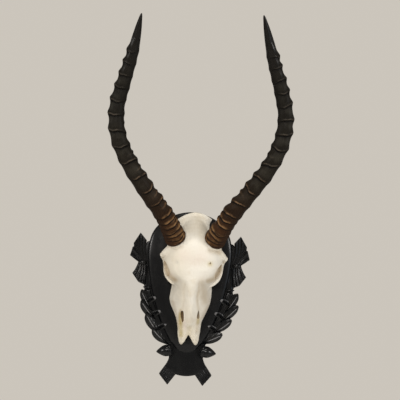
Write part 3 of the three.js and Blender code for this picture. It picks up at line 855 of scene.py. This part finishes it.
# Painted shade: the hollows under the lips are darkened nearly to black, partly the groove's own darkness.
body = (0.92 * groove.rising(0.2, 0.85)).mixed(body, rgb(0.0025, 0.0018, 0.0014))
finish_with(
    horn,
    Base_Color=body,
    Roughness=0.42 + 0.1 * fibres + 0.14 * patches - 0.2 * share.rising(0.8, 0.95),
    Coat_Weight=0.35 * share.rising(0.7, 0.95),
    Normal=fibres.bump(0.0003, patches.bump(0.002, strength=0.4), strength=0.3),
)
for name, facts in HORNS.items():
    dress(horn_sheath(**facts), f"ringed_horn_{name}", horn, "horn", f"horn_{name}")

# ---------------------------------------------------------------- skull
# The front half of an impala's skull, boiled and bleached, sawn flat behind so that it lies on
# the panel. Two screws from behind hold it. It hangs slightly askew, so it has its own frame.

SKULL_SHIFT, SKULL_TURN = 5.2, 1.6
BONE_BACK = PANEL_DEPTH + 0.35
# Sections as height, half width to the left and to the right, thickness and roundness.
SKULL_ROWS = [
    (-86.8, 14.8, 15.4, 4, 2.2), (-83, 17.4, 18, 7, 2.3), (-77, 19, 19.6, 10, 2.3),
    (-67, 20.8, 20.6, 14, 2.2), (-55, 21.8, 21.8, 20, 2.1), (-43, 24, 22.4, 26.5, 1.9),
    (-33, 27.8, 26.5, 32, 1.7), (-22, 32.6, 31, 37, 1.6), (-11, 38, 35.2, 41, 1.55),
    (-1, 41, 37.4, 44.5, 1.55), (8, 40.4, 38.2, 47.5, 1.6), (18, 38.6, 38.2, 50.5, 1.75),
    (26, 37.8, 37.2, 53, 2), (32, 41, 39.4, 54.5, 2.3), (40, 48.6, 46.8, 57, 2.7),
    (50, 53.6, 51, 59, 3), (60, 55.6, 52.8, 60.5, 3.3), (70, 56, 54, 61, 3.6), (82, 55, 55, 62, 3.8),
    (94, 51, 51, 62, 3.7), (105, 45, 45, 61, 3.3), (116, 36, 36, 58, 2.7), (127, 32, 29, 53, 2.4),
    (140, 31.5, 25.5, 45, 2.2), (152, 32.5, 26, 36, 2.2), (163.5, 36, 30.5, 25, 2.2),
]
CROWN_ARC, CROWN_HALF = 14, 34
ORBIT_PLACE, ORBIT_RADII, ORBIT_TURN = (56, 57, 55), (21, 15, 15), 4
TEMPLE_PLACE, TEMPLE_RADII = (60, 36, 103), (19, 15, 13)
# The bony rim behind the left or right orbit, and the brow above it: half width, depth, height, radius.
ORBIT_RIM = [
    (58, 58, 82, 5), (57.3, 50, 78, 4), (55, 41, 71, 3), (53.7, 36, 62, 2.5), (53, 37, 51.5, 2.2),
    (50, 41, 42.5, 2.3), (45, 45, 36.5, 2.8), (39, 47, 31.5, 3.2), (31, 46, 27, 3),
]
BROW = [
    (28, 67, 97, 10), (41, 66, 94.5, 9.5), (47.5, 64, 89.5, 8.2), (54.2, 61, 84.6, 6.2),
    (58.6, 58, 82, 4.1),
]
NOTCH = [
    (0, -65.5), (-2.4, -70), (-4.4, -74.5), (-6.8, -79.6), (-9.8, -84), (-13.4, -88), (-15, -96),
    (16, -96), (14.6, -88), (11.2, -84), (8.2, -79.8), (5.6, -75), (2.8, -70),
]
LEFT_SLIT = [
    (-15.2, -19.8), (-12.6, -21.4), (-11.3, -28), (-10.9, -35), (-11.4, -41), (-12.8, -42.6),
    (-14.8, -38), (-16.8, -31), (-17.4, -24.5),
]
RIGHT_SLIT = [
    (15.4, -17), (16.6, -22), (18, -28), (17.8, -32.4), (16, -34.2), (13.8, -33),
    (13.2, -28.5), (14.2, -22),
]
SLIT_FLOOR = 44
FORAMEN_PLACE, FORAMEN_RADII = (31, 83, 73), (1.5, 4.5, 1.3)
# Seams between the bones as lines of (x, z) on the face, with their depth.
SEAMS = [
    ([(0.5, 152), (-0.8, 132), (1, 112), (-0.6, 92), (0.8, 72), (0.2, 56), (1.5, 44)], 0.22),
    ([(-9, 37), (-5, 39.4), (-2, 38.8), (2, 41), (5, 40.4), (9, 42)], 0.14),
    ([(-15, 36), (-12, 27), (-14.4, 17), (-12.6, 6), (-14, -5), (-14.6, -19)], 0.4),
    ([(14, 40), (12.4, 30), (13.4, 18), (11.4, 8), (14, -4), (15, -15)], 0.4),
    ([(-17, -43), (-14.6, -56), (-13.6, -66)], 0.35), ([(15.4, -36), (14.8, -48), (15.6, -60)], 0.3),
]
# Broad dips at both sides, with their width and depth. The last one is a swelling.
DIPS = [
    ([(27, 32), (26, 12), (22.5, -12)], 6.5, 1.5), ([(47, 53), (41, 45), (33, 37)], 6.5, 2.8),
    ([(29.5, 69), (28, 60), (25, 50)], 3.2, 0.45), ([(16, 124), (21, 134), (27, 143)], 3, -1.2),
]
BLANK_VOXEL, SKULL_VOXEL = 1.4, 0.98


def skull_blank():
    """The skull's main form, from a sphere moved to smooth cross-sections."""
    rings = 200
    bpy.ops.mesh.primitive_uv_sphere_add(segments=144, ring_count=rings + 1, radius=1)
    piece = bpy.context.object
    ring, turn = rings_of(piece, rings)
    rows = smooth_line(SKULL_ROWS, 24)
    low, high = SKULL_ROWS[0][0], SKULL_ROWS[-1][0]
    level = high + (low - high) * np.clip((ring - 1) / (rings - 1), 0, 1)
    left, right, thick, roundness = [np.interp(level, rows[:, 0], rows[:, i]) for i in (1, 2, 3, 4)]
    across, forward = np.sin(turn), np.cos(turn)
    bulge = lambda value: np.sign(value) * np.abs(value) ** (2 / roundness)
    x = np.where(across < 0, left, right) * bulge(across)
    depth = BONE_BACK + thick * np.maximum(0, bulge(forward))
    pole = (ring == 0) | (ring == rings + 1)
    x, depth = np.where(pole, 0, x), np.where(pole, BONE_BACK + thick * 0.4, depth)
    arc = CROWN_ARC * rising(level, 110, high) * (x / CROWN_HALF) ** 2
    set_points(piece, at(x, depth, level - arc))
    return outward(piece)


def bar_of_bone(places):
    """A rounded bar of bone through places given as (x, depth, z, radius)."""
    line = smooth_line(places, 6)
    path, radius = at(*line.T[:3]), line[:, 3]
    bpy.ops.mesh.primitive_uv_sphere_add(segments=16, ring_count=len(path) + 1, radius=1)
    piece = bpy.context.object
    ring, turn = rings_of(piece, len(path))
    axes = np.gradient(path, axis=0)
    axes /= np.linalg.norm(axes, axis=1)[:, None]
    front = np.cross(axes, np.cross((0.1, -1, 0.2), axes))
    front /= np.linalg.norm(front, axis=1)[:, None]
    sideways = np.cross(axes, front)
    row = np.clip(ring - 1, 0, len(path) - 1)
    reach = np.where((ring == 0) | (ring == len(path) + 1), 0, radius[row])
    set_points(piece, path[row] + front[row] * (reach * np.cos(turn))[:, None]
               + sideways[row] * (reach * np.sin(turn))[:, None])
    return outward(piece)


def horn_core(side, line):
    """The bone under a sheath: a stub out of the brow, and a tapering core."""
    line = HornLine(side, line)
    profile = [(-34, 15), (-26, 17), (-12, 19.6), (-5, 19.2), (-1.5, 18), (-0.8, 16.6), (-0.6, 12.2),
               (20, 8.8), (40, 5.4), (60, 2)]
    bpy.ops.mesh.primitive_uv_sphere_add(segments=48, ring_count=len(profile) + 1, radius=1)
    piece = bpy.context.object
    ring, turn = rings_of(piece, len(profile))
    along = np.array([-34, *[row[0] for row in profile], 61])[ring]
    radius = np.array([0, *[row[1] for row in profile], 0])[ring]
    set_points(piece, line.bend(along, radius, turn))
    return outward(piece)


def remeshed(piece, voxel):
    apply_modifier(piece, "REMESH", mode="VOXEL", voxel_size=voxel * MM)
    apply_modifier(piece, "SMOOTH", factor=0.5, iterations=3)
    return piece


def slit_cutter(outline, floor):
    """A cutter of the given outline that reaches back to a depth of floor."""
    cutter = board(evenly(smooth_line(outline, 12, closed=True), 36, closed=True), 90, 0.05, 1)
    points = points_of(cutter)
    points[:, 1] = np.minimum(points[:, 1], -floor)
    set_points(cutter, points)
    return cutter


def hung(piece):
    """Moves a piece from the skull's own frame to where the skull hangs."""
    piece.data.transform(Matrix.Translation((SKULL_SHIFT * MM, 0, 0))
                         @ Matrix.Rotation(math.radians(SKULL_TURN), 4, "Y"))
    return piece


def in_skull_frame(points):
    turn = math.radians(SKULL_TURN)
    x, depth, z = points[:, 0] - SKULL_SHIFT, -points[:, 1], points[:, 2]
    return x * math.cos(turn) - z * math.sin(turn), depth, x * math.sin(turn) + z * math.cos(turn)


def stroke(x, z, line, width):
    """1 on a line drawn on the skull's face, falling away softly over its width."""
    line = smooth_line(line, 6)
    nearest = np.full(len(x), np.inf)
    for (x0, z0), (x1, z1) in zip(line[:-1], line[1:]):
        run, rise = x1 - x0, z1 - z0
        share = np.clip(((x - x0) * run + (z - z0) * rise) / (run**2 + rise**2), 0, 1)
        nearest = np.minimum(nearest, (x - x0 - share * run) ** 2 + (z - z0 - share * rise) ** 2)
    return np.exp(-nearest / width**2)


def spot(x, z, place, width):
    return np.exp(-((x - place[0]) ** 2 + (z - place[1]) ** 2) / width**2)


def lumps(points, size):
    """Soft irregularity of about the given size in millimetres, between -1 and 1."""
    return np.array([noise.fractal(Vector(place) / size, 1.0, 2.0, 2) for place in points])


def below_crown(x, z):
    """How far a place on the face is below the arched upper edge."""
    return SKULL_ROWS[-1][0] - CROWN_ARC * (x / CROWN_HALF) ** 2 - z


def worked_relief(x, z):
    """How far the finer forms of the face stand out from the blank."""
    wide = np.abs(x)
    up = -0.7 * spot(x, z, (0, 58), 17)  # the dip between the orbits
    edge = np.interp(z, [-50, -20, 10, 45], [5.6, 7, 8, 12])
    nasal = (1 - rising(wide, edge - 3.5, edge + 3.5)) * rising(z - 0.12 * x**2, -56, -47)
    up += 1.9 * nasal * (1 - rising(z, 26, 50))
    up -= 0.9 * np.exp(-((wide - 13.5) / 3.6) ** 2) * rising(z, -16, 4) * (1 - rising(z, 24, 40))
    end = 1 - rising(z, -61, -46)
    up += end * (1.6 * np.exp(-((wide - 12.5) / 4.2) ** 2) - 0.8 * np.exp(-(x / 5) ** 2))
    for line, depth in SEAMS:
        up -= depth * stroke(x, z, line, 0.9)
    arc = below_crown(x, z)
    up += 0.9 * np.exp(-((arc - 1.6) / 1.6) ** 2) - 0.4 * np.exp(-((arc - 5.6) / 2.4) ** 2)
    up += 0.09 * np.sin(arc * 0.95) * rising(arc, 6, 10) * (1 - rising(arc, 18, 28))
    for side in (-1, 1):
        for line, width, depth in DIPS:
            up -= depth * stroke(x, z, on_side(side, line), width)
    return up


skull = joined(skull_blank(), *[bar_of_bone(on_side(side, BROW)) for side in (1, -1)])
skull = remeshed(skull, BLANK_VOXEL)
tools = [slit_cutter(NOTCH, 0)]
for side in (1, -1):
    orbit, temple = on_side(side, [ORBIT_PLACE, TEMPLE_PLACE])
    tools += [egg(orbit, ORBIT_RADII, ORBIT_TURN * side), egg(temple, TEMPLE_RADII)]
skull = hollowed(skull, tools)
skull = joined(skull, *[bar_of_bone(on_side(side, ORBIT_RIM)) for side in (1, -1)])
skull = joined(hung(skull), *[horn_core(facts["side"], facts["line"]) for facts in HORNS.values()])
skull = remeshed(skull, SKULL_VOXEL)


def evened_out(piece, values, rounds):
    """Values at a piece's points, averaged with their neighbours' a few times."""
    edges = np.empty(len(piece.data.edges) * 2, int)
    piece.data.edges.foreach_get("vertices", edges)
    first, second = edges.reshape(-1, 2).T
    size = len(values)
    count = 1 + np.bincount(edges, minlength=size)
    for _ in range(rounds):
        total = np.bincount(first, values[second], size) + np.bincount(second, values[first], size)
        values = (values + total) / count
    return values


points = points_of(skull)
normals = np.empty(points.size)
skull.data.vertex_normals.foreach_get("vector", normals)
normals = normals.reshape(-1, 3)
x, depth, z = in_skull_frame(points)
facing = evened_out(skull, rising(-normals[:, 1], 0.2, 0.6), 6)
in_front = rising(depth - BONE_BACK, 1, 6)
points[:, 1] -= facing * in_front * worked_relief(x, z)
uneven = 0.45 * lumps(points, 17) + 0.12 * lumps(points, 4)
side_hollow = 2.4 * (1 - facing) * np.exp(-((z - 13) / 15) ** 2 - ((depth - 44) / 12) ** 2)
points += normals * (uneven - side_hollow)[:, None]
points[:, 1] = np.minimum(points[:, 1], -BONE_BACK)
set_points(skull, points)

tools = [hung(slit_cutter(LEFT_SLIT, SLIT_FLOOR)), hung(slit_cutter(RIGHT_SLIT, SLIT_FLOOR))]
tools.append(hung(egg(FORAMEN_PLACE, FORAMEN_RADII)))
tools += screw_bores(SKULL_SCREWS, SKULL_BORE)
skull = hollowed(skull, tools)

# Stains and painted shade, drawn point by point: lines or single places on the face, with their width and
# strength.
STAINS_AND_SHADE = {
    "tan": [
        # Painted shade: tan in the lower crescents of the orbits.
        ([(-52, 62), (-48, 51), (-41, 43), (-32, 37)], 5, 0.8),
        ([(50, 60), (46, 51), (39, 43), (29, 39)], 5.5, 0.9),
        # Tan under the horn bases: partly stain, partly painted shadow.
        ([(-48, 98), (-36, 96), (-22, 100)], 3.5, 0.3), ([(28, 96), (37, 95), (46, 93)], 5, 0.6),
        # Painted shade down the right side of the face.
        ([(19, 36), (24, 18), (28, 0)], 9, 0.55),
        ([(-13, 30), (-14.4, 17), (-12.6, 6), (-14.6, -19)], 2.6, 0.22),
        ([(13, 34), (13.4, 18), (11.4, 8), (15, -15)], 2.8, 0.45), ([(15.4, -36), (15, -58)], 3.2, 0.4),
        ([(-10, 37), (-2, 39), (11, 44)], 2, 0.1), ([(-17, -21), (-18, -32), (-16, -44)], 3.6, 0.9),
        # Tan down both sides of the snout, towards its edges.
        ([(-34, -6), (-26, -30), (-21, -56)], 4, 0.35), ([(33, -8), (25, -32)], 4, 0.4),
    ],
    "olive": [
        ([(-17, -40), (-15, -56), (-14, -68)], 4.2, 0.75), ([(1, -52), (0, -60), (0, -72)], 5, 0.3),
        ((31, 71.5), 5, 0.75), ([(-18, -26), (-18.6, -33), (-17, -40)], 2.8, 0.8),
        ([(16.4, -34), (16, -42)], 3, 0.6),
    ],
    # Painted shade: dark brown in the slits and the foramina.
    "umber": [
        ([(-14, -22), (-12.6, -29), (-12, -38)], 2, 0.7), ([(15.8, -20), (16.4, -31)], 2.4, 0.5),
        ((31, 73), 1.8, 0.8), ((-29, 71), 2.2, 0.35),
    ],
    # Painted shade: grey on the sloping sides of the face, and in the pit of the left foramen.
    "grey": [
        ([(-26, 38), (-28, 18), (-28, -4)], 10, 0.9), ((-30, 70.5), 4, 0.7), ([(18, 30), (22, 10)], 7, 0.5),
    ],
    "pink": [([(-9, -40), (-7.5, -56)], 3, 1), ([(-20, 84), (0, 78), (18, 86)], 12, 0.6)],
}
x, depth, z = in_skull_frame(points_of(skull))
arc = below_crown(x, z)
inside_orbit = sum(((value - middle) / radius) ** 2 for value, middle, radius in
                   zip((np.abs(x), depth, z), ORBIT_PLACE, ORBIT_RADII))
bands = 0.75 + 0.25 * np.sin(0.95 * arc)
crown_bands = 0.16 * rising(arc, 3, 6) * (1 - rising(arc, 22, 48)) * bands
near_slits = stroke(x, z, [(-14.4, -21), (-12, -41)], 3.4) + stroke(x, z, [(15.6, -17), (16, -34)], 3.4)
# The floors of the cut slits, painted dark as shade.
slit_floors = (np.abs(depth - SLIT_FLOOR) < 0.001) & (near_slits > 0.2)
# Painted shade: tan over the inside of the orbits, and dark brown on the slit floors; faint tan bands
# across the crown.
wider_stains_and_shade = {
    "tan": np.maximum(1 - rising(inside_orbit, 0.95, 1.25), crown_bands),
    "umber": slit_floors * np.where(x < 0, 0.7, 0.58),
}
for name, marks in STAINS_AND_SHADE.items():
    mask = wider_stains_and_shade.get(name, np.zeros(len(x)))
    for line, width, strength in marks:
        drawn = stroke if isinstance(line, list) else spot
        mask = np.maximum(mask, strength * drawn(x, z, line, width))
    store(skull, name, mask)

bone, wire = new_finish("bleached_bone", IOR=1.45)
place = wire.place()
mottled = place.noise(42, 5, 0.6)
clouds = place.noise(14, 3, 0.5)
pores = place.noise(1300, 2)
fibres = place.stretched((700, 700, 120)).noise(1.0, 3)
blotch = 0.45 + 1.1 * mottled
colour = clouds.rising(0.35, 0.65).mixed(rgb(0.81, 0.75, 0.63), rgb(0.88, 0.84, 0.755))
colour = (0.38 * mottled.rising(0.52, 0.72)).mixed(colour, rgb(0.68, 0.59, 0.44))
colour = (0.8 * (blotch * wire.attribute("pink"))).clamped().mixed(colour, rgb(0.83, 0.735, 0.65))
# Grey: painted shade.
colour = (0.8 * (blotch * wire.attribute("grey"))).clamped().mixed(colour, rgb(0.66, 0.62, 0.54))
# Tan: real stains, and painted shade in the orbits, under the horns and on the sloping sides.
colour = (blotch * wire.attribute("tan")).clamped().mixed(colour, rgb(0.49, 0.385, 0.25))
colour = (blotch * wire.attribute("olive")).clamped().mixed(colour, rgb(0.56, 0.45, 0.20))
# Umber: painted shade in the openings.
colour = wire.attribute("umber").rising(0.2, 0.75).mixed(colour, rgb(0.15, 0.085, 0.025))
fibrous = fibres.bump(0.0002, mottled.bump(0.0012, strength=0.55), strength=0.3)
finish_with(
    bone,
    Base_Color=(0.12 * pores.rising(0.55, 0.75)).mixed(colour, rgb(0.45, 0.36, 0.25)),
    Roughness=0.5 + 0.15 * mottled,
    Normal=pores.bump(0.00012, fibrous, strength=0.4),
)
dress(skull, "bleached_skull", bone, "bone", "skull")
